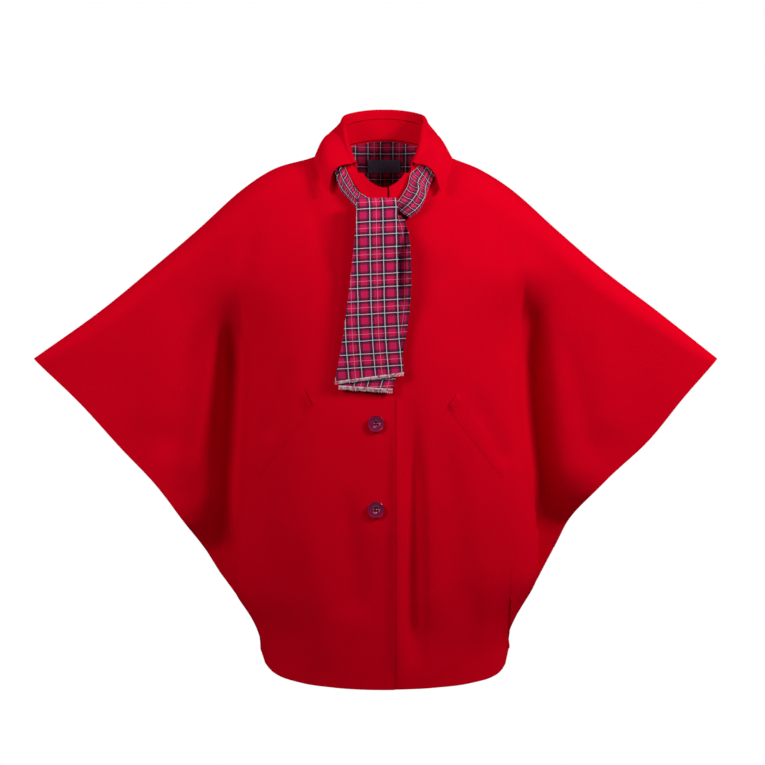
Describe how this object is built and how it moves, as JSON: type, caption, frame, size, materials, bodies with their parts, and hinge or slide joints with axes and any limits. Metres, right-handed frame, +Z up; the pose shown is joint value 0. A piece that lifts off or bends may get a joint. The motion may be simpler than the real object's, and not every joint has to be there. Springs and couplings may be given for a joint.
{
  "type": "wheelchair cape",
  "caption": "Red wool wheelchair cape with open wing sides, fall collar, slanted welt pockets and a tartan scarf threaded under the collar",
  "frame": {"origin": "middle of the neck hole at shoulder level, where the wearer's shoulders carry the cape", "axes": "+X is the wearer's left, +Y is the wearer's back, +Z is up; the front faces -Y"},
  "size_m": [1.05, 0.2603, 0.88],
  "materials": {
    "red_wool": "soft milled wool, matt",
    "tartan": "twill weave, matt",
    "fringe": "loose wool threads",
    "navy_label": "smooth woven, bare",
    "plum_button": "polished"
  },
  "bodies": {
    "root": {"front_right": "red_wool", "front_left": "red_wool", "back": "red_wool", "collar_stand": "red_wool", "collar_fall": "red_wool", "pocket_welt_right": "red_wool", "pocket_welt_left": "red_wool", "back_neck_lining": "tartan", "scarf_strand_right": "tartan", "scarf_strand_left": "tartan", "scarf_tail_front": "tartan", "scarf_tail_rear": "tartan", "scarf_fringe_front": "fringe", "scarf_fringe_rear": "fringe", "label": "navy_label", "button_1": "plum_button", "button_2": "plum_button", "button_3": "plum_button", "button_4": "plum_button"}
  },
  "joints": []
}
